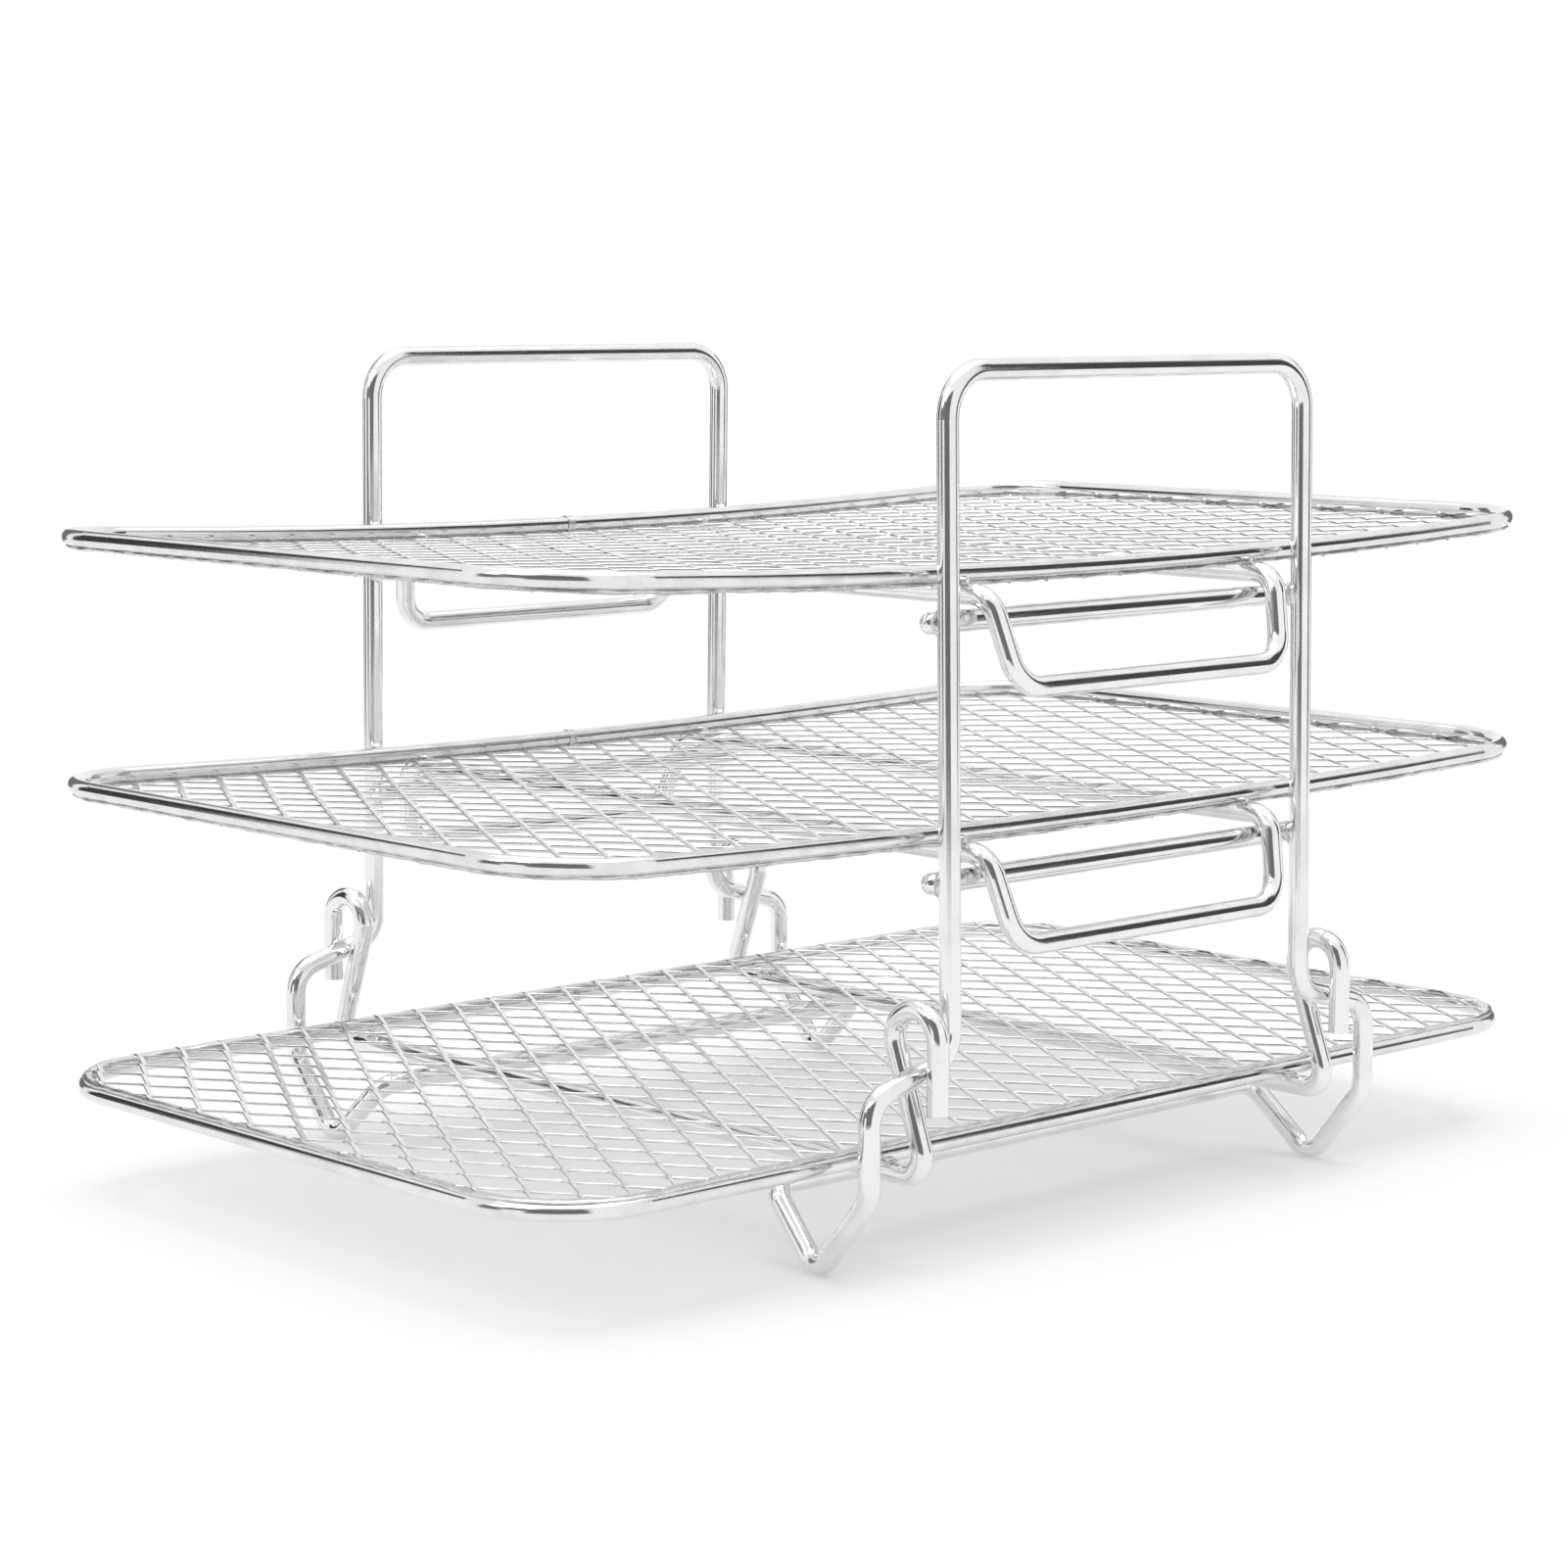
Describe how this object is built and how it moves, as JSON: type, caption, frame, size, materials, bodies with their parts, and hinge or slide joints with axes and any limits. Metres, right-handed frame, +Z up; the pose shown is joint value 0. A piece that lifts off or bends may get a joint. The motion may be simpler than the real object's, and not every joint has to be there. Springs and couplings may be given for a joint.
{
  "type": "cooling rack",
  "caption": "Tiered wire cooling rack: bowed mesh trays rest on crossbars between two handle frames that hook into a flat bottom tray with bent wire feet.",
  "frame": {"origin": "centre of the footprint on the table, under the middle of the bottom tray", "axes": "+X along the long side of the trays, +Y towards the back frame, +Z up"},
  "size_m": [0.205, 0.139, 0.1228],
  "materials": {
    "bright_wire": "polished",
    "expanded_sheet": "polished",
    "weld_mark": "satin"
  },
  "bodies": {
    "base": {"front_frame": "bright_wire", "back_frame": "bright_wire", "front_top_crossbar": "bright_wire", "front_middle_crossbar": "bright_wire", "back_top_crossbar": "bright_wire", "back_middle_crossbar": "bright_wire", "front_crossbar_welds": "weld_mark", "back_crossbar_welds": "weld_mark", "base_rim": "bright_wire", "base_rim_seam": "weld_mark", "base_mesh": "expanded_sheet", "left_hook_wire": "bright_wire", "right_hook_wire": "bright_wire", "base_tray_welds": "weld_mark"},
    "middle_tray": {"middle_rim": "bright_wire", "middle_rim_seam": "weld_mark", "middle_mesh": "expanded_sheet", "middle_support": "bright_wire", "middle_tray_welds": "weld_mark"},
    "top_tray": {"top_rim": "bright_wire", "top_rim_seam": "weld_mark", "top_mesh": "expanded_sheet", "top_support": "bright_wire", "top_tray_welds": "weld_mark"}
  },
  "joints": [
    {"name": "middle_tray_lift", "type": "slide", "parent": "base", "child": "middle_tray", "axis": [0, 0, 1], "range_m": [0, 0.018]},
    {"name": "top_tray_lift", "type": "slide", "parent": "base", "child": "top_tray", "axis": [0, 0, 1], "range_m": [0, 0.026]}
  ]
}
